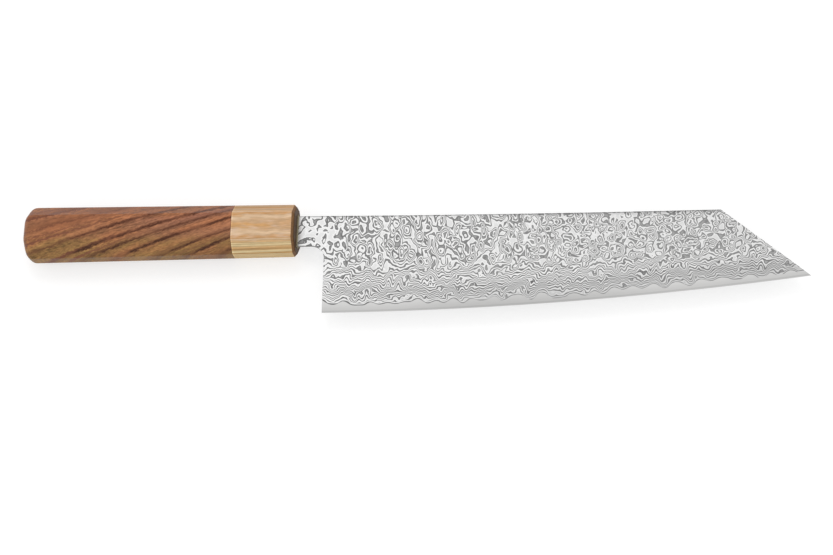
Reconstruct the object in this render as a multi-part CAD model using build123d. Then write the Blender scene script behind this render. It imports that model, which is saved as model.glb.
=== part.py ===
from build123d import *
from math import acos, cos, sin
import os

os.makedirs("parts", exist_ok=True)

# Kiritsuke kitchen knife: a three-layer blade with a hidden tang in an octagonal wooden handle.
# All sizes are in millimetres.
# The knife lies on its side. X runs from the butt to the point, Y from the edge to the spine
# and Z through the thickness. Zero is at first the middle of the front of the ferrule, and the
# finished pieces are moved so that it ends under the middle of the whole knife.

# Blade outline
blade_length = 240.0          # from the heel to the point
heel_height = 51.0            # from the edge at the heel to the top of the neck
neck_length = 14.3            # from the ferrule to the heel
neck_height = 15.7
neck_radius = 7.0             # where the neck runs down into the heel
spine_rise = 7.4              # spine above the handle axis at the ferrule
spine_fall = 0.6              # spine lower at the point corner than at the ferrule
spine_dip = 0.55              # hollow of the spine, below a straight line
corner_setback = 43.0         # from the end of the spine to the point, along the blade
tip_rise = 15.7               # point higher than the edge at the heel
edge_belly = 3.8              # edge bows this far below a straight line from heel to point

# Blade thickness
blade_thickness = 2.1         # at the spine by the ferrule, and through the tang
tip_thickness = 1.2           # of the flat above the grind, at the point
taper_start = 1.0             # from the ferrule to where the flats begin to taper
flat_allowance = 0.04         # left on by the grind, then taken off to make the flats true
edge_thickness = 0.1
bevel_height = 0.8            # sharpened strip along the edge
bevel_thickness = 0.36        # at the top of the sharpened strip
grind_height = 24.0           # from the edge to where the faces turn flat
core_thickness = 0.5          # hard core between the two claddings

# Wavy line where the grind comes through the cladding into the core
wave_height = 3.9             # mean height above the edge
wave_swing = 1.9              # highest hill or deepest valley, away from the mean

# Hidden tang
tang_length = 95.0
tang_height = 11.0
tang_end_height = 7.0
neck_seat = 6.0               # how far the full neck goes into the ferrule

# Handle
handle_length = 141.1
handle_height = 25.65         # at the ferrule
handle_width = 19.85
butt_height = 27.8
corner_height = 6.2           # facets cut from the corners, at the ferrule
corner_width = 6.6
arris_radius = 0.9
front_chamfer = 1.4
butt_depth = 6.4              # how far the rounded butt reaches along the handle
butt_flat_share = 0.2         # of the section, left flat at the very end
butt_roundness = 0.75         # 1 would round it like an ellipse, and less leaves it fuller
butt_arris_share = 1.1        # of the narrowest facet, to which the arrises grow over the butt
ferrule_length = 32.0

# Joint inside the handle
dowel_length = 54.0
dowel_setback = 8.0           # from the front of the ferrule to the dowel
dowel_wall = 1.0              # wood of the dowel above and below the slot
slot_gap = 0.6                # adhesive above and below the tang, and at its end
slot_side_gap = 0.35          # adhesive on each flat of the tang
seal_depth = 3.0
seal_stand = 0.7              # bead of the seal ahead of the ferrule
seal_bead = 0.6               # bead beyond the neck, all round

# One overrun for every cut
overrun = 2.0

# Sections that each smooth surface passes through
blade_steps = 6
dome_steps = 6

# Hills and valleys of the wavy line, as shares of the blade's length from the heel and of the
# swing above or below the mean height.
wave_shares = (
    (-0.030, 1.50), (0.000, 1.40), (0.014, 0.30), (0.030, 0.20), (0.044, 0.95), (0.062, -0.10),
    (0.078, -0.25), (0.090, -0.15), (0.100, 0.50), (0.119, -0.15), (0.138, 0.20), (0.154, -0.15),
    (0.172, 0.25), (0.186, 0.30), (0.200, 1.00), (0.221, -0.30), (0.240, 0.25), (0.254, -0.35),
    (0.275, 0.70), (0.294, -0.70), (0.310, 0.35), (0.325, -0.15), (0.345, -0.05), (0.361, 0.60),
    (0.373, -0.55), (0.402, 0.70), (0.418, 0.35), (0.436, -0.80), (0.452, 0.90), (0.468, 0.00),
    (0.479, -0.90), (0.504, -0.75), (0.521, 0.05), (0.546, -0.80), (0.564, 0.15), (0.581, -0.80),
    (0.603, 0.70), (0.621, -0.10), (0.642, 0.60), (0.660, -0.30), (0.684, 0.65), (0.706, -0.80),
    (0.726, 0.50), (0.742, 0.00), (0.758, -0.85), (0.776, 0.50), (0.800, -0.20), (0.818, 0.40),
    (0.840, -0.35), (0.860, -0.60), (0.876, 0.30), (0.892, -0.70), (0.905, -1.00), (0.919, 0.05),
    (0.936, -1.05), (0.958, 0.05), (0.975, -0.90), (1.000, -1.00), (1.020, -1.00),
)

# Worked out from the sizes above
heel_x = neck_length
tip_x = heel_x + blade_length
corner_x = tip_x - corner_setback
neck_y = spine_rise - neck_height
tang_y = spine_rise - neck_height / 2
slot_width = blade_thickness + 2 * slot_side_gap
dowel_radius = tang_height / 2 + slot_gap + dowel_wall
dome_start = butt_depth - handle_length
corner_y = spine_rise - spine_fall
heel_y = spine_rise - heel_height
tip_y = heel_y + tip_rise
low_y = heel_y - edge_belly - overrun


def sagging_arc(start, end, sag):
    """Arc whose middle is a sag below the straight line between its ends."""
    middle = ((start[0] + end[0]) / 2, (start[1] + end[1]) / 2 - sag)
    return ThreePointArc(start, middle, end)


edge_arc = sagging_arc((heel_x, heel_y), (tip_x, tip_y), edge_belly)


def edge_y(x):
    """Height of the edge, which is one long arc from heel to point."""
    centre = edge_arc.arc_center
    return centre.Y - (edge_arc.radius ** 2 - (x - centre.X) ** 2) ** 0.5


def flat_thickness(x):
    """Thickness above the grind, which tapers from the neck to the point."""
    share = (x - taper_start) / (tip_x - taper_start)
    return blade_thickness + (tip_thickness - blade_thickness) * share


def taper_size(x):
    """Size of the handle's section at x, as a share of its size at the front."""
    return 1 + (butt_height / handle_height - 1) * -x / handle_length


def cross_plane(x):
    """Plane across the knife at x, drawn with Y to the right and Z up."""
    return Plane(origin=(x, 0, 0), x_dir=(0, 1, 0), z_dir=(1, 0, 0))


def plate(outline, thickness):
    """Flat plate of a closed outline, centred on the middle of the blade."""
    return extrude(make_face(outline), amount=thickness / 2, both=True)


# Blade
def blade_section(x):
    """Flat faces, then a convex grind, then the sharpened strip."""
    top = spine_rise + overrun
    grind_top = edge_y(x) + grind_height
    grind_foot = edge_y(x) + bevel_height
    flat = (flat_thickness(x) + flat_allowance) / 2
    foot = bevel_thickness / 2
    edge = edge_thickness / 2
    lines = [
        Line((top, -flat), (top, flat)),
        Line((top, flat), (grind_top, flat)),
        TangentArc((grind_top, flat), (grind_foot, foot), tangent=(-1, 0)),
        Line((grind_foot, foot), (edge_y(x), edge)),
        Line((edge_y(x), edge), (edge_y(x), -edge)),
        Line((edge_y(x), -edge), (grind_foot, -foot)),
        TangentArc((grind_top, -flat), (grind_foot, -foot), tangent=(-1, 0)),
        Line((grind_top, -flat), (top, -flat)),
    ]
    return cross_plane(x) * make_face(lines)


def blade_outline():
    """Neck, heel, spine and the straight cut to the point. The grind makes the edge."""
    cut_slope = (corner_x - tip_x) / (corner_y - tip_y)
    spine = sagging_arc((taper_start, spine_rise), (corner_x, corner_y), spine_dip)
    rest = Polyline(
        (corner_x, corner_y),
        (tip_x + cut_slope * (low_y - tip_y), low_y),
        (heel_x, low_y),
        (heel_x, neck_y),
        (taper_start, neck_y),
        (taper_start, spine_rise),
    )
    face = make_face([spine, rest])
    inner_corner = face.vertices().sort_by_distance((heel_x, neck_y))[0]
    return fillet(inner_corner, neck_radius)


def tang_outline(front, grow):
    """Full neck up to the front, then the tapering tang, both larger all round by grow."""
    root = tang_height / 2 + grow
    end = tang_end_height / 2 + grow
    return Polyline(
        (front, neck_y - grow),
        (front, spine_rise + grow),
        (-neck_seat - grow, spine_rise + grow),
        (-neck_seat - grow, tang_y + root),
        (-tang_length - grow, tang_y + end),
        (-tang_length - grow, tang_y - end),
        (-neck_seat - grow, tang_y - root),
        (-neck_seat - grow, neck_y - grow),
        close=True,
    )


def true_flats(reach):
    """Wedge between the two flats of the blade."""
    root = blade_thickness / 2
    end = flat_thickness(reach) / 2
    start = taper_start
    side = Polyline((start, -root), (start, root), (reach, end), (reach, -end), close=True)
    return extrude(Plane.XZ * make_face(side), amount=blade_length, both=True)


def make_blade():
    """All three layers in one."""
    reach = tip_x + overrun
    between = (reach - taper_start) / blade_steps
    sections = [blade_section(taper_start + between * step) for step in range(blade_steps + 1)]
    ground = loft(sections) & true_flats(reach)
    ground = ground & extrude(blade_outline(), amount=blade_thickness, both=True)
    return ground + plate(tang_outline(taper_start, 0), blade_thickness)


def below_wave(shares):
    """Everything below a wavy line along the edge."""
    line = Spline(*[
        (heel_x + along * blade_length,
         edge_y(heel_x + along * blade_length) + wave_height + swing * wave_swing)
        for along, swing in shares
    ])
    below = Polyline(line @ 0, ((line @ 0).X, low_y), ((line @ 1).X, low_y), line @ 1)
    return extrude(make_face([line, below]), amount=blade_thickness, both=True)


def make_layers():
    """Core and two claddings. The second face has the same waves in the opposite order."""
    blade = make_blade()
    reach = tang_length + tip_x + 2 * overrun
    outer = Pos(-tang_length - overrun, 0, core_thickness / 2) * Box(
        reach, reach, blade_thickness, align=(Align.MIN, Align.CENTER, Align.MIN))
    turned = [(1 - along, swing) for along, swing in reversed(wave_shares)]
    right = (blade & outer) - below_wave(wave_shares)
    left = (blade & mirror(outer, about=Plane.XY)) - below_wave(turned)
    return blade - right - left, right, left


# Handle
def octagon(x):
    """Corners of the handle's section at x, in order round the handle."""
    size = taper_size(x)
    half_height = size * handle_height / 2
    half_width = size * handle_width / 2
    side = half_height - size * corner_height
    top = half_width - size * corner_width
    quarter = [(half_height, top), (side, half_width)]
    half = quarter + [(-y, z) for y, z in reversed(quarter)]
    ring = half + [(-y, -z) for y, z in half]
    return [(x, y, z) for y, z in ring]


def make_blank():
    """Straight octagonal stick from the front chamfer to the rounded butt, with eased arrises."""
    front = octagon(-front_chamfer)
    back = octagon(dome_start)
    outlines = [front, back]
    for corner, far_corner, last, far_last in zip(front, back, front[-1:] + front, back[-1:] + back):
        outlines.append([corner, far_corner, far_last, last])
    blank = Solid(Shell([make_face(Polyline(outline, close=True)) for outline in outlines]))
    arrises = [edge for edge in blank.edges() if edge.length > handle_length / 2]
    return fillet(arrises, arris_radius)


def shrunk(end, x, share):
    """Copy of an end face of the handle at x, times a share of its size."""
    copy = scale(end, by=share)
    return Pos(x - copy.center().X, 0, 0) * copy


def make_chamfer(blank):
    """Front of the ferrule, narrowed to its face."""
    end = blank.faces().sort_by(Axis.X)[-1]
    return loft([end, shrunk(end, 0, 1 - 2 * front_chamfer / handle_height)], ruled=True)


def make_dome(blank):
    """Butt, rounded over like a flattened dome with full shoulders, on which the arrises die out."""
    section = make_face(Polyline(octagon(dome_start), close=True))
    last_radius = butt_arris_share * min(edge.length for edge in section.edges())
    last_turn = acos(butt_flat_share ** (1 / butt_roundness))
    rings = [blank.faces().sort_by(Axis.X)[0]]
    for step in range(1, dome_steps + 1):
        turn = last_turn * step / dome_steps
        reach = butt_depth * (sin(turn) / sin(last_turn)) ** butt_roundness
        radius = arris_radius + (last_radius - arris_radius) * step / dome_steps
        eased = fillet(section.vertices(), radius)
        rings.append(shrunk(eased, dome_start - reach, cos(turn) ** butt_roundness))
    return loft(rings)


def make_dowel():
    """Round dowel that joins the ferrule and the body."""
    return Pos(-dowel_setback, tang_y, 0) * Rot(0, -90, 0) * Cylinder(
        dowel_radius, dowel_length, align=(Align.CENTER, Align.CENTER, Align.MIN))


def make_bead():
    """Bead of the seal around the neck, ahead of the ferrule."""
    bead = Pos(0, tang_y, 0) * Box(
        seal_stand, neck_height + 2 * seal_bead, blade_thickness + 2 * seal_bead,
        align=(Align.MIN, Align.CENTER, Align.CENTER))
    return chamfer(bead.faces().sort_by(Axis.X)[-1].edges(), seal_stand / 2)


core_steel, cladding_right, cladding_left = make_layers()
blade = core_steel + cladding_right + cladding_left
slot = plate(tang_outline(0, slot_gap), slot_width)
mouth = Box(2 * seal_depth, 2 * neck_height, 2 * slot_width)
dowel = make_dowel()
blank = make_blank()
joint = Plane.YZ.offset(-ferrule_length)
body, collar = split(blank, bisect_by=joint, keep=Keep.BOTH).solids().sort_by(Axis.X)
pieces = {
    "core_steel": core_steel,
    "cladding_right": cladding_right,
    "cladding_left": cladding_left,
    "handle_body": body + make_dome(blank) - dowel - slot,
    "ferrule": collar + make_chamfer(blank) - dowel - slot,
    "joint_dowel": dowel - slot,
    "tang_bedding": slot - mouth - blade,
    "slot_seal": (slot & mouth) + make_bead() - blade,
}

# The knife stands on the lowest flat of its handle, with zero under its middle
whole = Compound(children=[Compound(piece.solids()) for piece in pieces.values()]).bounding_box()
centre = whole.center()
for name, piece in pieces.items():
    placed = Pos(-centre.X, -centre.Y, -whole.min.Z) * piece
    placed.label = name
    export_step(placed, f"parts/{name}.step")
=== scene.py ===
from math import cos, log, radians

import bpy
from mathutils import Matrix, Vector


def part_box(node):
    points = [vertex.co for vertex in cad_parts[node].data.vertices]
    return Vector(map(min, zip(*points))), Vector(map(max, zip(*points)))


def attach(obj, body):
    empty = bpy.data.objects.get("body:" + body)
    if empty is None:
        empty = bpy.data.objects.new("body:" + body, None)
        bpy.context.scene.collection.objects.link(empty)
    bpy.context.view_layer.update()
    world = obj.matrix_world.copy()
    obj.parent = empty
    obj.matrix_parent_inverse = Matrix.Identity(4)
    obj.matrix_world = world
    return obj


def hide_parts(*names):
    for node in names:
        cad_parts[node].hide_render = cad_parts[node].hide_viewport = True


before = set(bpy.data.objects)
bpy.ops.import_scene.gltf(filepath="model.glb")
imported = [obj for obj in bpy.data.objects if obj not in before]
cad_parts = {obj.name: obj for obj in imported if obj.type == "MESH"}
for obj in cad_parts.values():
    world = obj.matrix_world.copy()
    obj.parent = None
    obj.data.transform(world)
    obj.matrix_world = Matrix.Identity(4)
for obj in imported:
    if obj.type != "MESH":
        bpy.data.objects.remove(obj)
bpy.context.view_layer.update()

# Kiritsuke knife on a white floor. Lengths are in metres, in the frame of the solids: X runs to
# the point, Y to the spine and Z up through the blade's thickness. The finishes work in
# millimetres, measured from the middle of the front of the ferrule.
mm = 0.001

# Sizes of the blade in millimetres, which the finishes follow
blade_length = 240           # from the heel to the point
heel_height = 51             # from the edge at the heel to the top of the neck
neck_length = 14.3           # from the ferrule to the heel
spine_rise = 7.4             # spine above the handle's axis at the ferrule
spine_fall = 0.6             # spine lower at its end than at the ferrule
spine_dip = 0.55             # hollow of the spine, below a straight line
corner_setback = 43          # from the end of the spine to the point, along the blade
spine_length = neck_length + blade_length - corner_setback
tip_rise = 15.7              # point higher than the edge at the heel
edge_belly = 3.8             # edge bows this far below a straight line from heel to point
grind_height = 24            # from the edge to where the faces turn flat
wave_height = 3.9            # mean height of the wavy line above the edge
wave_swing = 1.9
blade_thickness = 2.1        # at the spine by the ferrule
tip_thickness = 1.2

# Sizes of the handle in millimetres, with the sections at its front
handle_length = 141.1
handle_height = 25.65
handle_width = 19.85
butt_height = 27.8
corner_height = 6.2          # facets cut from the corners
corner_width = 6.6
arris_radius = 0.9
ferrule_length = 32
front_chamfer = 1.4
butt_depth = 6.4             # how far the rounded butt reaches along the handle
butt_flat_share = 0.2        # of the section, left flat at the very end
butt_roundness = 0.75        # 1 would round it like an ellipse, and less leaves it fuller
butt_arris_share = 1.1       # of the narrowest facet, to which the arrises grow over the butt
dome_steps = 18
section_points = 360
merge_distance = 0.001       # between points that become one

# Hills and valleys of the line where the layered steel ends, as shares of the blade's length from
# the heel and of the swing above or below the line's mean height
wave_shares = (
    (-0.030, 1.50), (0.000, 1.40), (0.014, 0.30), (0.030, 0.20), (0.044, 0.95), (0.062, -0.10),
    (0.078, -0.25), (0.090, -0.15), (0.100, 0.50), (0.119, -0.15), (0.138, 0.20), (0.154, -0.15),
    (0.172, 0.25), (0.186, 0.30), (0.200, 1.00), (0.221, -0.30), (0.240, 0.25), (0.254, -0.35),
    (0.275, 0.70), (0.294, -0.70), (0.310, 0.35), (0.325, -0.15), (0.345, -0.05), (0.361, 0.60),
    (0.373, -0.55), (0.402, 0.70), (0.418, 0.35), (0.436, -0.80), (0.452, 0.90), (0.468, 0.00),
    (0.479, -0.90), (0.504, -0.75), (0.521, 0.05), (0.546, -0.80), (0.564, 0.15), (0.581, -0.80),
    (0.603, 0.70), (0.621, -0.10), (0.642, 0.60), (0.660, -0.30), (0.684, 0.65), (0.706, -0.80),
    (0.726, 0.50), (0.742, 0.00), (0.758, -0.85), (0.776, 0.50), (0.800, -0.20), (0.818, 0.40),
    (0.840, -0.35), (0.860, -0.60), (0.876, 0.30), (0.892, -0.70), (0.905, -1.00), (0.919, 0.05),
    (0.936, -1.05), (0.958, 0.05), (0.975, -0.90), (1.000, -1.00), (1.020, -1.00),
)
swing_range = 4              # from the lowest to the highest share that the curve can hold

# Places that follow from the solids
ferrule_low, ferrule_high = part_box("ferrule")
ferrule_middle = (ferrule_low + ferrule_high) / 2
zero = Vector((ferrule_high.x, ferrule_middle.y, ferrule_middle.z))

# Camera, as the photograph was taken
camera_place = Vector((166.6, -376.9, 1085.8)) * mm
camera_aim = Vector((4.7, -10.9, 10.7)) * mm
camera_roll = radians(1.864)
camera_lens = 100
sensor_width = 36

# Edges steeper than this stay sharp in a smooth mesh
sharp_angle = radians(30)

# Sockets of a Mix node that hold its two colours and its result
mix_colours = (6, 7)
mix_result = 2


class Value:
    """Output of a node. Sums and products of values add Math nodes."""

    def __init__(self, net, socket):
        self.net = net
        self.socket = socket

    def __add__(self, other):
        return self.net.math("ADD", self, other)

    def __sub__(self, other):
        return self.net.math("SUBTRACT", self, other)

    def __mul__(self, other):
        return self.net.math("MULTIPLY", self, other)

    def __truediv__(self, other):
        return self.net.math("DIVIDE", self, other)

    def __pow__(self, other):
        return self.net.math("POWER", self, other)

    def __radd__(self, other):
        return self.net.math("ADD", other, self)

    def __rsub__(self, other):
        return self.net.math("SUBTRACT", other, self)

    def __rmul__(self, other):
        return self.net.math("MULTIPLY", other, self)

    def __rtruediv__(self, other):
        return self.net.math("DIVIDE", other, self)

    def __abs__(self):
        return self.net.math("ABSOLUTE", self)


class Net:
    """A tree of nodes, with one way to add any node."""

    def __init__(self, tree):
        self.tree = tree
        self.tree.nodes.clear()

    def node(self, kind, settings=None, sockets=None, output=0):
        made = self.tree.nodes.new(kind)
        for name, value in (settings or {}).items():
            if name == "stops":
                fill_ramp(made.color_ramp, value)
            elif name == "points":
                fill_curve(made.mapping, value)
            else:
                setattr(made, name, value)
        for key, value in (sockets or {}).items():
            if isinstance(value, Value):
                self.tree.links.new(value.socket, made.inputs[key])
            else:
                made.inputs[key].default_value = value
        return Value(self, made.outputs[output]) if len(made.outputs) else made

    def math(self, operation, *terms):
        return self.node("ShaderNodeMath", {"operation": operation}, dict(enumerate(terms)))

    def vector(self, x, y, z):
        return self.node("ShaderNodeCombineXYZ", {}, {"X": x, "Y": y, "Z": z})

    def parts(self, vector):
        """The three numbers of a vector."""
        split = self.node("ShaderNodeSeparateXYZ", {}, {0: vector}).socket.node
        return [Value(self, output) for output in split.outputs]


class Shape(Net):
    """A tree of Geometry Nodes with named inputs for its sizes and material."""

    def __init__(self, name, inputs):
        tree = bpy.data.node_groups.new(name, "GeometryNodeTree")
        super().__init__(tree)
        self.identifiers = {}
        for label, kind in inputs.items():
            made = tree.interface.new_socket(name=label, in_out="INPUT", socket_type="NodeSocket" + kind)
            self.identifiers[label] = made.identifier
        tree.interface.new_socket(name="Mesh", in_out="OUTPUT", socket_type="NodeSocketGeometry")
        entry = tree.nodes.new("NodeGroupInput")
        self.inputs = [Value(self, entry.outputs[label]) for label in inputs]

    def end(self, mesh, material):
        """Ends the tree in real faces of a material."""
        real = self.node("GeometryNodeRealizeInstances", {}, {"Geometry": mesh})
        dressed = self.node("GeometryNodeSetMaterial", {}, {"Geometry": real, "Material": material})
        self.node("NodeGroupOutput", {}, {0: dressed})

    def make(self, name, sizes):
        """Piece with the shape's plain mesh at the given sizes."""
        piece = bpy.data.objects.new(name, bpy.data.meshes.new(name))
        bpy.context.scene.collection.objects.link(piece)
        modifier = piece.modifiers.new(name, "NODES")
        modifier.node_group = self.tree
        for label, size in sizes.items():
            modifier[self.identifiers[label]] = size
        shaped = piece.evaluated_get(bpy.context.evaluated_depsgraph_get())
        mesh = bpy.data.meshes.new_from_object(shaped)
        piece.modifiers.remove(modifier)
        piece.data = mesh
        mesh.shade_smooth()
        mesh.set_sharp_from_angle(angle=sharp_angle)
        return piece


class Finish(Net):
    """A material under the name of its finish."""

    def __init__(self, name):
        self.material = bpy.data.materials.new(name)
        self.material.use_nodes = True
        super().__init__(self.material.node_tree)

    def place(self):
        """Object coordinates in millimetres from the middle of the ferrule's front."""
        coordinates = self.node("ShaderNodeTexCoord", {}, {}, "Object")
        moved = self.node("ShaderNodeVectorMath", {"operation": "SUBTRACT"}, {0: coordinates, 1: zero})
        grown = self.node("ShaderNodeVectorMath", {"operation": "SCALE"}, {0: moved, "Scale": 1 / mm})
        return self.parts(grown)

    def noise(self, vector, detail, roughness):
        """Smooth noise from -1 to 1."""
        made = self.node("ShaderNodeTexNoise", {}, {
            "Vector": vector, "Scale": 1, "Detail": detail, "Roughness": roughness})
        return made * 2 - 1

    def swells(self, x, y, size, seed, detail=0, roughness=0.5):
        """Smooth noise from -1 to 1 on the blade, in swells of a length and a height."""
        length, height = size
        return self.noise(self.vector(x / length, y / height, seed), detail, roughness)

    def grain(self, place, counts, detail=1, roughness=0.5):
        """Smooth noise from -1 to 1, with so many swells along each of a place's numbers."""
        along, up, through = [part * count for part, count in zip(place, counts)]
        return self.noise(self.vector(along, up, through), detail, roughness)

    def noise_along(self, value, scale):
        """Smooth noise from -1 to 1 along one value."""
        made = self.node("ShaderNodeTexNoise", {"noise_dimensions": "1D"}, {
            "W": value, "Scale": scale, "Detail": 0})
        return made * 2 - 1

    def step(self, value, low, high, bottom=0, top=1):
        """Smooth step from bottom to top as the value goes from low to high."""
        return self.node("ShaderNodeMapRange", {"interpolation_type": "SMOOTHSTEP"}, {
            "Value": value, "From Min": low, "From Max": high, "To Min": bottom, "To Max": top})

    def mix(self, share, first, second):
        """Colour between two, which are given as values or as (red, green, blue)."""
        colours = {
            key: colour if isinstance(colour, Value) else (*colour, 1)
            for key, colour in zip(mix_colours, (first, second))
        }
        return self.node("ShaderNodeMix", {"data_type": "RGBA"}, {0: share, **colours}, mix_result)

    def tint(self, colour, strength):
        """Colour, a value or (red, green, blue), times a strength."""
        return self.node("ShaderNodeVectorMath", {"operation": "SCALE"}, {0: colour, "Scale": strength})

    def surface(self, **sockets):
        """Ends the finish in one shader."""
        named = {
            name.replace("_", " ").title().replace("Ior", "IOR"): value
            for name, value in sockets.items()
        }
        shader = self.node("ShaderNodeBsdfPrincipled", {}, named)
        self.node("ShaderNodeOutputMaterial", {}, {"Surface": shader})
        return self.material


def grey(shade):
    return (shade, shade, shade, 1)


def fill_ramp(ramp, stops):
    """Stops given as (place, shade)."""
    while len(ramp.elements) < len(stops):
        ramp.elements.new(1)
    for element, (place, shade) in zip(ramp.elements, stops):
        element.position = place
        element.color = grey(shade)


def fill_curve(mapping, points):
    """Smooth curve through points."""
    curve = mapping.curves[0]
    while len(curve.points) < len(points):
        curve.points.new(0, 0)
    for made, (place, height) in zip(curve.points, points):
        made.location = (place, height)
    mapping.update()


# Layered steel, in millimetres and layers. A level counts the layers, and the bright ones lie round
# its whole numbers. Over most of the blade the layers rise in rings. Near the edge, where the grind
# cuts across them, they run in waves.
layer_top = 25               # height above the edge at which the grind begins to cut through layers
top_fall = 10                # and how much lower that is at the point
top_rounding = 30            # of the grind's beginning, in square millimetres
layer_slope = 0.98           # layers that the grind crosses in a millimetre near the edge
heel_slope = 0.85            # share of that at the heel
warp_size = (4, 4)           # length and height of the swells that push the pattern out of shape
warp = 2
eye_width = 4.6              # between the middles of the rings
eye_growth = 4               # more than that up the blade, near the spine by the heel
eye_disorder = 0.9           # how unevenly they lie
eye_reach = 0.56             # share of the width over which each set of rings spreads
eye_softness = 0.12          # of the end of each set
eye_middle = 0.42            # share of the width at which the rings neither rise nor fall
eye_layers = 4.5
low_eyes = 0.22              # share of the rings' rise that is left near the edge
neck_eyes = 0.2              # and on the neck
sea_size = (8.2, 8.4)        # broad swells between the rings
sea_growth = 9               # taller near the spine by the heel
sea_roughness = 0.55
sea_layers = 3.5
crowd_layers = 1.3           # more of them where the rings crowd
neck_sea = 0.4               # share of them that is left on the neck
hill_size = (7, 8.5)         # hills and valleys of the waves
hill_layers = 3.1
high_hill_layers = 1         # what is left of them near the spine
bundle_size = (9, 5)         # bundles of fine lines in the waves
bundle_levels = (-0.15, 0.3)
bundle_layers = 0.3
zigzag_size = (2.7, 7)       # short waves near the edge
zigzag_layers = 1.9
patch_size = (8.5, 7.5)      # patches on the neck
patch_layers = 3.4
ferrule_rise = 0.85          # share of all the rise that is left at the ferrule
uneven_layers = 0.35         # how much one layer is thicker than the next
uneven_scale = 0.5
first_level = 0.68
probe = 0.2                  # between the places where the slope of the layers is taken
least_slope = 0.12
line_softness = 0.11         # of the border between a bright and a dark layer

# Share of each pair of layers that is dark
neck_dark_share = 0.26
blade_dark_share = 0.47
share_swing = 0.24           # how much that differs from one pair to the next
share_scale = 0.8
ferrule_dark_share = 0.06    # more of it by the ferrule

# Zones along the blade, each from where it begins to where it is full, in shares of the length
# from the heel
neck_zone = (0.05, -0.02)
body_zone = (-0.03, 0.06)
dark_zone = (-0.03, 0.05)
faded_zone = (-0.05, 0.1)
slope_zone = (0.1, 0.6)
crowd_start = (0.12, 0.25)
crowd_end = (0.6, 0.52)
tall_zone = (0.5, 0.2)
lined_zone = (0.42, 0.28)
bundle_zone = (0, 0.4)
near_zone = (0.05, 0.4)
crisp_zone = (0.2, 0.5)
point_fade_zone = (0.1, 0.75)
point_zone = (0.7, 0.95)
spine_dim_zone = (0, 0.8)
ferrule_near = (8, 3)        # this one in millimetres from the ferrule

# Zones up the blade in millimetres. The first ones are above the wavy line.
follow_zone = (9, 1)
calm_zone = (0, 3)
wave_zone = (16, 9)
fine_zone = (8.5, 4)
light_zone = (4, 16)
bright_line = (1.15, 0.85)
dark_line = (0.6, 0.35)
upper_zone = (-6, 3)         # above the beginning of the grind
spine_arris = (-0.7, -0.35)  # above the spine, as the next
spine_shade_zone = (-2.2, -0.8)
core_zone = (0.2, 6)         # above the edge, as the next
cut_zone = (grind_height - 0.5, grind_height)

# Shades of the steel
dark_layer = 0.165
bright_layer = 0.9
middle_shade = 0.53
plateau_zone = (0.3, 0.8)    # distance into a wide layer over which it nears the middle shade
ring_plateaus = (0.17, 0.13)  # lighter in a wide dark layer, and darker in a wide bright one
wave_plateaus = (0.27, 0.2)
bundle_fades = (0.15, 0.35)  # contrast lost in bundles of fine lines, at the heel and further on
near_fade = 0.25             # and near the wavy line
body_contrast = 0.9          # against 1 on the neck
point_fade = 0.15
wave_contrasts = (1.1, 1.26)  # against 1 in the rings, at the heel and further on
height_lights = (1.03, 1.13)  # light on the steel, low and high on the blade
length_lights = (1.02, 0.97)  # and at the heel and the point
point_losses = (0.06, 0.12)  # light lost near the wavy line, before the point and at it
cut_loss = 0.72              # and on the narrow edges
# Painted shade on the core's narrow edges
core_cut_loss = 0.8
cut_softness = (0.06, 0.14)
spine_loss = 0.42
spine_shade = 0.2
layer_tint = (1, 0.998, 0.995)
bright_roughness = 0.3
dark_roughness = 0.42

# Core's plain band, with painted shade: darker towards the edge, a little darker part of the way along and
# along the top of the sharpened strip
core_light = (0.62, 0.74)
dim_place = 0.42
dim_zone = (0.08, 0.3)
dim_share = 0.9
bevel_line = 0.7
bevel_zone = (0.15, 0.5)
bevel_share = 0.88
scratch_counts = (1 / 6, 6, 3)
scratch_depth = 0.03
core_tint = (1, 0.995, 0.985)
core_roughness = 0.34


def blade_shares(finish, x, y, turned):
    """Share of the length from the heel, height above the edge, and height of the wavy line."""
    along = (x - neck_length) / blade_length
    edge = spine_rise - heel_height + tip_rise * along - 4 * edge_belly * along * (1 - along)
    shares = [(1 - place, height) for place, height in reversed(wave_shares)] if turned else wave_shares
    low = shares[0][0]
    reach = shares[-1][0] - low
    points = [((place - low) / reach, height / swing_range + 0.5) for place, height in shares]
    curve = finish.node("ShaderNodeFloatCurve", {"points": points}, {"Value": (along - low) / reach}, 0)
    swing = (curve - 0.5) * swing_range * wave_swing
    return along, y - edge, swing


def cut_edges(finish, z, along, height):
    """1 on the narrow edges all round the blade, where the layers are cut across; the steel finishes paint
    shade there.
    """
    half = (blade_thickness + (tip_thickness - blade_thickness) * along) / 2
    return finish.step(half - abs(z), *cut_softness) * finish.step(height, *cut_zone)


def cut_depth(finish, drop):
    """How far the grind has cut, rising smoothly below its top."""
    return (drop + finish.math("SQRT", drop * drop + top_rounding)) / 2


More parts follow.
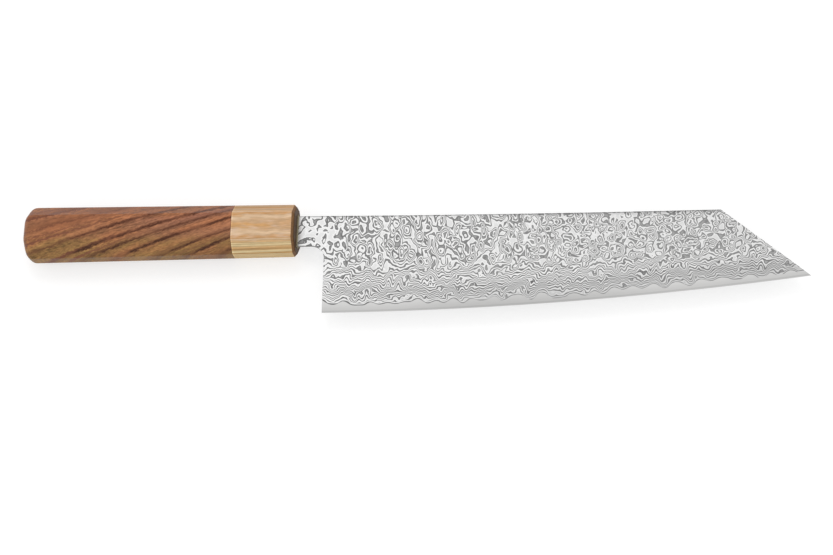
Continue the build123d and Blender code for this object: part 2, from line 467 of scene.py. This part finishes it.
def layer_level(finish, x, y, turned, seed):
    """Number of the layer that shows at a place, with the place's share of the length, its heights
    above the edge and the wavy line, and how far it is in a bundle. Each noise has its own seed."""
    along, height, swing = blade_shares(finish, x, y, turned)
    above = height - wave_height - swing
    flow = height - swing * finish.step(above, *follow_zone)
    top = layer_top - top_fall * along
    cut = (cut_depth(finish, top - flow) - cut_depth(finish, top - wave_height)) * layer_slope
    cut = cut * finish.step(along, *slope_zone, heel_slope, 1)
    upper = finish.step(height - top, *upper_zone)
    tall = finish.step(along, *tall_zone) * upper
    px = x + finish.swells(x, y, warp_size, seed, 1) * warp
    py = height - top + finish.swells(x, y, warp_size, seed + 5, 1) * warp
    eyes = finish.node("ShaderNodeTexVoronoi", {"voronoi_dimensions": "2D"}, {
        "Vector": finish.vector(px / eye_width + seed, py / (eye_width + tall * eye_growth), 0),
        "Scale": 1, "Randomness": eye_disorder})
    rings = (finish.math("SMOOTH_MIN", eyes, eye_reach, eye_softness) - eye_middle) * eye_layers
    sea = finish.swells(px, py, (sea_size[0], sea_size[1] + tall * sea_growth), seed, 1, sea_roughness)
    hills = finish.swells(px, py, hill_size, seed + 9, 1)
    bundles = finish.step(finish.swells(x, y, bundle_size, seed + 20, 1), *bundle_levels) * (1 - upper)
    patches = finish.swells(px, py, patch_size, seed + 34, 2)
    zigzag = finish.swells(x, y, zigzag_size, seed + 50)
    crowd = finish.step(along, *crowd_start) * finish.step(along, *crowd_end)
    neck = finish.step(along, *neck_zone)
    rise = rings * (1 - neck * (1 - neck_eyes))
    rise = rise + sea * (sea_layers + crowd * crowd_layers) * (1 - neck * (1 - neck_sea))
    rise = rise * (low_eyes + upper * (1 - low_eyes)) + patches * neck * patch_layers
    hill_rise = hill_layers - upper * (hill_layers - high_hill_layers)
    rise = rise + hills * hill_rise * (1 + bundles * bundle_layers)
    rise = rise + zigzag * (1 - upper) * zigzag_layers
    level = cut + rise * finish.step(above, *calm_zone) * finish.step(along, *body_zone, ferrule_rise, 1)
    level = level + finish.noise_along(level + seed, uneven_scale) * uneven_layers
    return level, along, height, above, bundles


def layered_steel(name, turned, seed):
    """Finish of one cladding. The wavy line is turned end for end on the far one."""
    finish = Finish(name)
    x, y, z = finish.place()
    level, along, height, above, bundles = layer_level(finish, x, y, turned, seed)
    slope_x = layer_level(finish, x + probe, y, turned, seed)[0] - level
    slope_y = layer_level(finish, x, y + probe, turned, seed)[0] - level
    slope = finish.math("SQRT", slope_x * slope_x + slope_y * slope_y) / probe
    level = level + first_level

    # Bright and dark layers, with the distance into a bright one in millimetres
    wave = abs(finish.math("FRACT", level) * 2 - 1)
    dark_share = finish.step(along, *dark_zone, neck_dark_share, blade_dark_share)
    dark_share = dark_share + finish.noise_along(level + seed * 3, share_scale) * share_swing
    dark_share = dark_share + finish.step(x, *ferrule_near) * ferrule_dark_share
    inside = (wave - dark_share) / finish.math("MAXIMUM", slope, least_slope) / 2
    light = finish.step(inside, -line_softness, line_softness)

    # A bright and a dark line along the wavy line, in the heel's part
    lined = finish.step(along, *lined_zone)
    light = finish.math("MAXIMUM", light, finish.step(above, *bright_line) * lined)
    light = finish.math("MINIMUM", light, 1 - finish.step(above, *dark_line) * lined)

    # Less contrast in fine lines and to the point, and more in the waves
    near = finish.step(above, *fine_zone) * finish.step(along, *near_zone)
    fine = finish.math("MAXIMUM", bundles * finish.step(along, *bundle_zone, *bundle_fades), near * near_fade)
    contrast = finish.step(along, *faded_zone, 1, body_contrast)
    contrast = contrast - finish.step(along, *point_fade_zone, 0, point_fade)
    crisp = finish.step(along, *crisp_zone, *wave_contrasts)
    contrast = contrast * finish.step(above, *wave_zone, 1, crisp)
    plateau = finish.step(abs(inside), *plateau_zone)
    lighter, darker = [
        plateau * finish.step(above, *wave_zone, in_rings, in_waves)
        for in_rings, in_waves in zip(ring_plateaus, wave_plateaus)
    ]
    dark = dark_layer + lighter
    bright = bright_layer - darker
    shade = middle_shade + (dark + (bright - dark) * light - middle_shade) * contrast * (1 - fine)

    # Light falls off to the edge, to the point and on the spine
    shade = shade * finish.step(above, *light_zone, *height_lights)
    shade = shade * finish.step(along, 0, 1, *length_lights)
    shade = shade * (1 - near * finish.step(along, *point_zone, *point_losses))
    back = x / spine_length
    spine = spine_rise - (back * spine_fall + 4 * spine_dip * back * (1 - back))
    dimmed = finish.step(along, *spine_dim_zone, 0, spine_shade)
    shade = shade * (1 - finish.step(y - spine, *spine_arris) * spine_loss)
    shade = shade * (1 - finish.step(y - spine, *spine_shade_zone) * dimmed)
    # Painted shade on the narrow edges
    shade = shade * (1 - cut_edges(finish, z, along, height) * cut_loss)
    return finish.surface(
        base_color=finish.tint(layer_tint, shade), metallic=1.0,
        roughness=finish.step(light, 0, 1, dark_roughness, bright_roughness))


def core_steel():
    finish = Finish("core_steel")
    x, y, z = finish.place()
    along, height, swing = blade_shares(finish, x, y, False)
    # Painted shade: darker towards the edge, part of the way along, along the top of the sharpened strip and
    # on the narrow edges. The scratches are the steel's own.
    shade = finish.step(height, *core_zone, *core_light)
    shade = shade * finish.step(abs(along - dim_place), *dim_zone, dim_share, 1)
    shade = shade * finish.step(abs(height - bevel_line), *bevel_zone, bevel_share, 1)
    shade = shade * (1 + finish.grain((x, y, z), scratch_counts) * scratch_depth)
    shade = shade * (1 - cut_edges(finish, z, along, height) * core_cut_loss)
    return finish.surface(
        base_color=finish.tint(core_tint, shade), metallic=1.0, roughness=core_roughness)


# Dark rings of the two woods: number of the ring, half width in rings and depth of colour. Each
# pattern starts again after its last ring.
stripes = (
    (0.30, 0.22, 0.45), (1.15, 0.42, 0.42), (2.45, 0.13, 0.75), (3.48, 0.16, 1.00), (4.20, 0.12, 0.70),
    (5.10, 0.17, 0.90), (6.38, 0.12, 0.80), (7.30, 0.15, 1.00), (8.50, 0.18, 0.80),
)
stripe_count = 9.2
veins = (
    (0.95, 0.35, 0.50), (1.80, 0.16, 1.00), (3.60, 0.25, 0.60), (5.20, 0.18, 0.80), (6.80, 0.20, 0.90),
    (8.20, 0.50, 0.75),
)
vein_count = 9
ring_tail = 1.7              # how much slower a ring darkens than it ends
ring_sharpness = 0.7

# Rings of the striped wood, counted from one near the middle of the handle, for each millimetre
wood_middle = -83.4
first_ring = 3.4565
rings_along = 0.048
rings_up = -0.158
rings_through = -0.0395
ring_fan = -0.00086          # more of them up the handle, for each millimetre along it
ring_bend = 0.00017

# Grain of the striped wood: swells to a millimetre along the handle, to a ring and to a millimetre
# through the handle. The sway is in millimetres up the handle.
sway_counts = (1 / 60, 1 / 30, 1 / 30)
sway = 0.2
rough_counts = (1 / 2.6, 4.5, 1 / 2)
rough_roughness = 0.75
rough_rings = 0.22
patch_counts = (1 / 14, 1.6, 1 / 12)
patch_depth = 0.7
pore_counts = (1 / 2, 10, 1)
pore_roughness = 0.6
pore_depth = 0.6
fibre_counts = (1 / 6, 7, 1 / 2)
fibre_roughness = 0.7
fibre_depth = 0.7
cloud_counts = (1 / 25, 0.9, 1)
cloud_seed = 3
ring_light_scale = 1.3
ring_light = 0.4
line_scale = 4
line_levels = (0.1, 0.45)

# Places on the handle, from where something begins to where it is full: up it, and along it
upper_facet = (6, 9)
lowest_facet = (-11, -12.5)
olive_zone = (-9, -3)
olive_sway = 2
red_zone = (-3, 8)
low_zone = (1, -4)
stripe_zone = (-55, -8)
pink_zone = (-40, 40)
dim_wood_zone = (-30, 50)
line_zone = (10, -40)

# Depths of the stripes and lines, and light on the facets
butt_stripes = 0.65
low_stripes = 0.6
stripe_spread = 1.2
olive_share = 0.7            # share of the turn from olive to red that is low on the handle
warm_levels = (-0.4, 0.5)
warm_rise = 0.025
line_depths = (0.35, 0.9)
wood_light = 1.02
upper_light = 0.82
lowest_light = 0.88
low_loss = 0.12
joint_width = 0.5
joint_light = 0.5
fibre_bump = 0.25
fibre_height = 0.1
fibre_levels = (-0.5, 0.5)
striped_roughness = (0.42, 0.52)
striped_shine = 0.2

# Colours of the striped wood
red_brown = (0.310, 0.124, 0.061)
pink_brown = (0.310, 0.127, 0.078)
olive_brown = (0.300, 0.160, 0.054)
warm_brown = (0.368, 0.142, 0.060)
line_brown = (0.190, 0.068, 0.038)
stripe_brown = (0.150, 0.048, 0.026)
olive_black = (0.060, 0.021, 0.008)
red_black = (0.088, 0.026, 0.010)

# Grain of the pale wood: swells to a millimetre along the ferrule, up it and through it
flow_counts = (1 / 13, 1 / 5, 1 / 5)
flow_roughness = 0.55
straight_flow = 0.08
side_flow = 0.35
ring_arch = 0.02
vein_counts = (1 / 4, 1.2, 1.2)
vein_roughness = 0.6
vein_rough = 0.1
vein_strength = 0.9
vein_swing = 0.6
vein_depth = 0.8
thread_counts = (1 / 45, 3.8, 1)
thread_seed = 5
thread_roughness = 0.7
thread_sway = 0.1
thread_scale = 2
thread_levels = (0, 0.22)
thread_depth = 0.55
down_counts = (1 / 5, 1.7, 1.7)
blush_counts = (1 / 7, 1 / 1.6, 1 / 1.6)
blush_levels = (0, 0.6)
blush_depth = 0.55
end_counts = (0.8, 0.9, 0.9)
end_depth = 0.5

# Places on the ferrule: through it, up it and along it
broad_side = (7.5, 9.8)
straw_zone = (-4, 8)
band_height = -0.3
band_sway = 2.2
band_half = (1.5, 0.5)
band_zone = (-6, -14)
band_depth = 0.6
end_softness = 0.15
face_zone = (-0.7, 0)
face_light = 0.4
rim_zone = (-ferrule_length + 0.3, -ferrule_length + 0.9)
rim_light = 1.15
thread_light = 0.6
side_thread_light = 0.35
pale_roughness = 0.55
pale_shine = 0.15
down_light = 0.3

# Colours of the pale wood
straw = (0.67, 0.525, 0.29)
high_straw_and_shade = (0.52, 0.36, 0.225)
side_straw = (0.635, 0.445, 0.28)
vein_brown = (0.54, 0.25, 0.07)
thread_brown = (0.40, 0.20, 0.06)
band_brown = (0.60, 0.32, 0.11)
blush_pink = (0.70, 0.525, 0.40)
end_grain_and_shade = (0.18, 0.09, 0.038)

# Dowel, adhesive and seal: clouds to a millimetre, the two colours and the roughness
cloud_levels = (-0.5, 0.5)
dowel_counts = (1 / 12, 1.5, 1.5)
dowel_browns = ((0.48, 0.33, 0.18), (0.62, 0.47, 0.30))
dowel_roughness = 0.6
resin_counts = (1 / 5, 1 / 5, 1 / 5)
resin_yellows = ((0.56, 0.43, 0.24), (0.64, 0.52, 0.32))
resin_roughness = 0.4
wax_counts = (1 / 1.5, 1 / 1.5, 1 / 1.5)
wax_olives = ((0.16, 0.135, 0.08), (0.25, 0.215, 0.13))
wax_roughness = 0.5


def dark_rings(finish, ring, rings, count):
    """Depth of colour, from 0 to 1, where the dark rings of a wood show."""
    stops = []
    for place, half, depth in rings:
        start = place - half * ring_tail
        stops += [(start / count, 0), (place / count, depth), ((place + half) / count, 0)]
    turn = finish.math("FRACT", ring / count)
    return finish.node("ShaderNodeValToRGB", {"stops": stops}, {"Fac": turn}) ** ring_sharpness


def striped_wood():
    finish = Finish("striped_wood")
    x, y, z = finish.place()
    across = x - wood_middle

    # Rings, straight at first, then fanned out, bent and roughened
    ring = first_ring + rings_along * across + rings_up * y + rings_through * z
    ring = ring + ring_fan * across * y + ring_bend * across * across
    ring = ring + finish.grain((across, y, z), sway_counts) * sway
    rough = finish.grain((across, ring, z), rough_counts, 2, rough_roughness) * rough_rings
    patches = finish.grain((across, ring, z), patch_counts)
    pores = finish.grain((across, ring, z), pore_counts, 1, pore_roughness)
    fibres = finish.grain((across, ring, z), fibre_counts, 2, fibre_roughness)
    dark = dark_rings(finish, ring + rough, stripes, stripe_count)
    dark = dark * (1 + patches * patch_depth + pores * pore_depth)
    dark = dark * finish.step(across, *stripe_zone, butt_stripes, 1)
    dark = dark * finish.step(y, *lowest_facet, 1, low_stripes)
    dark = finish.math("MINIMUM", dark, 1)

    # Ground, which turns from olive to red up the handle, with warm clouds and thin lines
    hue = finish.step(y + patches * olive_sway, *olive_zone) * olive_share
    hue = hue + finish.step(y, *red_zone) * (1 - olive_share)
    ground = finish.mix(hue, olive_brown, finish.mix(finish.step(across, *pink_zone), red_brown, pink_brown))
    clouds = finish.grain((across, ring, cloud_seed), cloud_counts)
    ground = finish.mix(finish.step(clouds + y * warm_rise, *warm_levels), ground, warm_brown)
    shade = wood_light + fibres * fibre_depth + pores * pore_depth
    shade = shade + finish.noise_along(ring, ring_light_scale) * ring_light
    # Painted shade on the upper and the lowest facets, and on the low facets towards the ferrule
    shade = shade * finish.step(y, *upper_facet, 1, upper_light)
    shade = shade * finish.step(y, *lowest_facet, 1, lowest_light)
    shade = shade * (1 - finish.step(y, *low_zone) * finish.step(across, *dim_wood_zone) * low_loss)
    lines = finish.step(finish.noise_along(ring + rough, line_scale), *line_levels)
    lines = lines * finish.step(across, *line_zone, *line_depths)
    ground = finish.mix(lines, finish.tint(ground, shade), line_brown)

    # Stripes, and the shadow of the joint to the ferrule
    stripe = finish.mix(dark, stripe_brown, finish.mix(hue, olive_black, red_black))
    colour = finish.mix(finish.math("MINIMUM", dark * stripe_spread, 1), ground, stripe)
    joint = finish.step(x, -ferrule_length - joint_width, -ferrule_length, 1, joint_light)
    bump = finish.node("ShaderNodeBump", {}, {
        "Strength": fibre_bump, "Distance": fibre_height * mm, "Height": fibres})
    return finish.surface(
        base_color=finish.tint(colour, joint), normal=bump, specular_ior_level=striped_shine,
        roughness=finish.step(fibres, *fibre_levels, *striped_roughness))


def pale_wood():
    finish = Finish("pale_wood")
    x, y, z = finish.place()
    side = finish.step(abs(z), *broad_side)

    # Veins and threads, straight on the narrow facets of the ferrule and wavy on its broad sides
    flow = finish.grain((x, y, z), flow_counts, 2, flow_roughness)
    ring = z + ring_arch * y * y + flow * (straight_flow + side * (side_flow - straight_flow))
    rough = finish.grain((x, y, z), vein_counts, 2, vein_roughness)
    threads = finish.grain((x, ring, thread_seed), thread_counts, 1, thread_roughness)
    down = finish.grain((x, y, z), down_counts, 2, vein_roughness)
    dark = dark_rings(finish, ring + rough * vein_rough, veins, vein_count)
    dark = dark * (vein_strength + rough * vein_swing)
    # Ground: a straw colour for each kind of facet, the one on the upper facets darker in its own colour and
    # in painted shade
    ground = finish.mix(side, finish.mix(finish.step(y, *straw_zone), straw, high_straw_and_shade), side_straw)
    colour = finish.mix(finish.math("MINIMUM", dark, 1) * vein_depth, ground, vein_brown)
    thin = finish.step(finish.noise_along(ring + threads * thread_sway, thread_scale), *thread_levels)
    colour = finish.mix(thin * (1 - side) * thread_depth, colour, thread_brown)

    # A broad vein and pink clouds on the broad sides
    band = finish.step(abs(y - band_height + flow * band_sway), *band_half)
    band = band * finish.step(x, *band_zone) * side
    colour = finish.mix(band * band_depth, colour, band_brown)
    blush = finish.step(finish.grain((x, y, z), blush_counts), *blush_levels) * side
    colour = finish.mix(blush * blush_depth, colour, blush_pink)
    light = thread_light + side * (side_thread_light - thread_light)
    colour = finish.tint(colour, 1 + threads * light + down * down_light)

    # End grain on the bevel and the front face, darker in its own colour and in painted shade; more painted
    # shade darkens the front face, and a painted highlight brightens the rim at the joint
    streaks = finish.grain((x, y, z), end_counts, 2, vein_roughness)
    end = finish.step(x, -front_chamfer - end_softness, -front_chamfer + end_softness)
    colour = finish.mix(end, colour, finish.tint(end_grain_and_shade, 1 + streaks * end_depth))
    colour = finish.tint(colour, finish.step(x, *face_zone, 1, face_light))
    colour = finish.tint(colour, finish.step(x, *rim_zone, rim_light, 1))
    return finish.surface(base_color=colour, roughness=pale_roughness, specular_ior_level=pale_shine)


def clouded(name, counts, colours, roughness):
    """Finish between two colours, with so many clouds to a millimetre."""
    finish = Finish(name)
    clouds = finish.grain(finish.place(), counts, 2)
    colour = finish.mix(finish.step(clouds, *cloud_levels), *colours)
    return finish.surface(base_color=colour, roughness=roughness)


# Rounding of an arris by the sum of powers that joins the facets: the power for an arris whose
# radius is the section's half height
half_facet_turn = radians(22.5)
arris_power = log(2) / (1 / cos(half_facet_turn) - 1)


def octagonal_stick():
    """Octagonal stick along the handle's axis, which grows to the back, bevelled in front and domed
    behind. It starts as a cylinder whose rings are numbered from the front: 0 is the bevel's edge, 1
    its foot, 2 the foot of the dome, and the others run over the dome."""
    shape = Shape("octagonal_stick", {
        "Place": "Vector", "Front": "Float", "Back": "Float", "Height": "Float", "Width": "Float",
        "Corner Height": "Float", "Corner Width": "Float", "Growth": "Float", "Arris Radius": "Float",
        "Bevel": "Float", "Dome Depth": "Float", "Dome Flat Share": "Float", "Dome Roundness": "Float",
        "Dome Arris Radius": "Float", "Dome Steps": "Int", "Section Points": "Int", "Material": "Material",
    })
    (place, front, back, height, width, corner_tall, corner_wide, growth, arris, bevel, depth, flat_share,
     roundness, dome_arris, steps, points, material) = shape.inputs
    cylinder = shape.node("GeometryNodeMeshCylinder", {"fill_type": "NGON"}, {
        "Vertices": points, "Side Segments": steps + 2, "Radius": 1, "Depth": 1})
    across, up, down = shape.parts(shape.node("GeometryNodeInputPosition"))
    ring = shape.math("ROUND", (down + 0.5) * (steps + 2))
    dome_share = shape.math("MAXIMUM", ring - 2, 0) / steps
    last_turn = shape.math("ARCCOSINE", flat_share ** (1 / roundness))
    turn = last_turn * dome_share
    shoulder = (shape.math("SINE", turn) / shape.math("SINE", last_turn)) ** roundness
    foot = shape.math("MINIMUM", ring, 1)
    body = shape.math("MINIMUM", shape.math("MAXIMUM", ring - 1, 0), 1)
    start = front - bevel * foot
    x = start + (back - start) * body
    size = (1 - shape.math("MINIMUM", x, front - bevel) * growth) * shape.math("COSINE", turn) ** roundness
    size = size * (1 - (1 - foot) * bevel * 2 / height)
    half_height = height / 2
    half_width = width / 2
    power = half_height * arris_power / (arris + (dome_arris - arris) * dome_share)
    tall = abs(up)
    wide = abs(across) * height / width
    facet = corner_wide * half_height + corner_tall * (half_width - corner_wide)
    slant = (abs(up) * corner_wide + abs(across) * corner_tall) * half_height / facet
    reach = (tall ** power + wide ** power + slant ** power) ** (-1 / power) * half_height * size
    moved = shape.node("ShaderNodeVectorMath", {"operation": "ADD"}, {
        0: shape.vector(x - depth * shoulder, up * reach, across * reach), 1: place})
    shaped = shape.node("GeometryNodeSetPosition", {}, {"Geometry": cylinder, "Position": moved})
    closed = shape.node("GeometryNodeMergeByDistance", {}, {
        "Geometry": shaped, "Distance": merge_distance * mm})
    shape.end(closed, material)
    return shape


def fit_stick(stick, name, node, material, own_sizes):
    """Piece of the octagonal handle in place of its solid."""
    growth = (butt_height / handle_height - 1) / handle_length
    narrowest = (handle_width - 2 * corner_width) * (1 + growth * (handle_length - butt_depth))
    sizes = {
        "Height": handle_height, "Width": handle_width, "Corner Height": corner_height,
        "Corner Width": corner_width, "Arris Radius": arris_radius,
        "Dome Arris Radius": butt_arris_share * narrowest, **own_sizes,
    }
    numbers = {
        "Place": zero, "Growth": growth / mm, "Dome Flat Share": butt_flat_share,
        "Dome Roundness": butt_roundness, "Section Points": section_points, "Material": material,
    }
    metres = {label: size * mm for label, size in sizes.items()}
    steps = {"Dome Steps": dome_steps if own_sizes["Dome Depth"] else 0}
    piece = stick.make(name, {**metres, **numbers, **steps})
    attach(piece, "root")
    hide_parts(node)


def dress(node, material):
    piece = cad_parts[node]
    piece.data.materials.clear()
    piece.data.materials.append(material)


def make_camera():
    """Camera whose picture stands upright along Y, turned by its roll."""
    back = (camera_place - camera_aim).normalized()
    right = Vector((0, 1, 0)).cross(back).normalized()
    up = back.cross(right)
    turn = Matrix((right, up, back)).transposed().to_4x4()
    data = bpy.data.cameras.new("camera")
    data.lens = camera_lens
    data.sensor_width = sensor_width
    camera = bpy.data.objects.new("camera", data)
    camera.matrix_world = Matrix.Translation(camera_place) @ turn @ Matrix.Rotation(camera_roll, 4, "Z")
    bpy.context.scene.collection.objects.link(camera)
    bpy.context.scene.camera = camera


# White floor: seen directly or in the steel it glows, so that only the shadow tells on it
floor_size = 6
floor_glow = 0.62
floor_shade = 0.45
plain_floor_shade = 0.8
world_light = 0.92

# Round lamp above the floor beyond the spine
lamp_place = Vector((-0.1, 0.9, 1.65))
lamp_size = 0.75
lamp_power = 4.3


def make_floor():
    data = bpy.data.meshes.new("floor")
    half = floor_size / 2
    corners = [(-half, -half, 0), (half, -half, 0), (half, half, 0), (-half, half, 0)]
    data.from_pydata(corners, [], [(0, 1, 2, 3)])
    floor = bpy.data.objects.new("floor", data)
    bpy.context.scene.collection.objects.link(floor)
    finish = Finish("floor_white")
    camera, glossy, transmission = [
        finish.node("ShaderNodeLightPath", {}, {}, name)
        for name in ("Is Camera Ray", "Is Glossy Ray", "Is Transmission Ray")
    ]
    seen = finish.math("MAXIMUM", finish.math("MAXIMUM", camera, glossy), transmission)
    glow = finish.node("ShaderNodeEmission", {}, {"Strength": floor_glow})
    shade = finish.node("ShaderNodeBsdfDiffuse", {}, {"Color": grey(floor_shade)})
    shown = finish.node("ShaderNodeAddShader", {}, {0: glow, 1: shade})
    plain_white = finish.node("ShaderNodeBsdfDiffuse", {}, {"Color": grey(plain_floor_shade)})
    surface = finish.node("ShaderNodeMixShader", {}, {0: seen, 1: plain_white, 2: shown})
    finish.node("ShaderNodeOutputMaterial", {}, {"Surface": surface})
    data.materials.append(finish.material)


def make_lamp():
    """Lamp that shines on the knife's middle, and that the steel doesn't mirror."""
    data = bpy.data.lights.new("overhead", "AREA")
    data.shape = "DISK"
    data.size = lamp_size
    data.energy = lamp_power
    lamp = bpy.data.objects.new("overhead", data)
    lamp.location = lamp_place
    lamp.rotation_euler = (-lamp_place).to_track_quat("-Z", "Y").to_euler()
    lamp.visible_glossy = False
    bpy.context.scene.collection.objects.link(lamp)


def make_world():
    """White all round, a little brighter where the camera sees it than on the object."""
    world = bpy.data.worlds.new("studio")
    bpy.context.scene.world = world
    world.use_nodes = True
    studio = Net(world.node_tree)
    camera = studio.node("ShaderNodeLightPath", {}, {}, "Is Camera Ray")
    light = studio.node("ShaderNodeBackground", {}, {"Color": grey(1), "Strength": world_light})
    white = studio.node("ShaderNodeBackground", {}, {"Color": grey(1), "Strength": 1})
    shown = studio.node("ShaderNodeMixShader", {}, {0: camera, 1: light, 2: white})
    studio.node("ShaderNodeOutputWorld", {}, {"Surface": shown})


dress("core_steel", core_steel())
dress("cladding_right", layered_steel("layered_steel_right", turned=False, seed=0))
dress("cladding_left", layered_steel("layered_steel_left", turned=True, seed=40))
stick = octagonal_stick()
fit_stick(stick, "octagonal_handle", "handle_body", striped_wood(), {
    "Front": -ferrule_length, "Back": butt_depth - handle_length, "Bevel": 0, "Dome Depth": butt_depth})
fit_stick(stick, "octagonal_ferrule", "ferrule", pale_wood(), {
    "Front": 0, "Back": -ferrule_length, "Bevel": front_chamfer, "Dome Depth": 0})
dress("joint_dowel", clouded("dowel_wood", dowel_counts, dowel_browns, dowel_roughness))
dress("tang_bedding", clouded("bedding_resin", resin_counts, resin_yellows, resin_roughness))
dress("slot_seal", clouded("seal_wax", wax_counts, wax_olives, wax_roughness))
make_camera()
make_floor()
make_world()
make_lamp()
bpy.context.scene.view_settings.view_transform = "Standard"
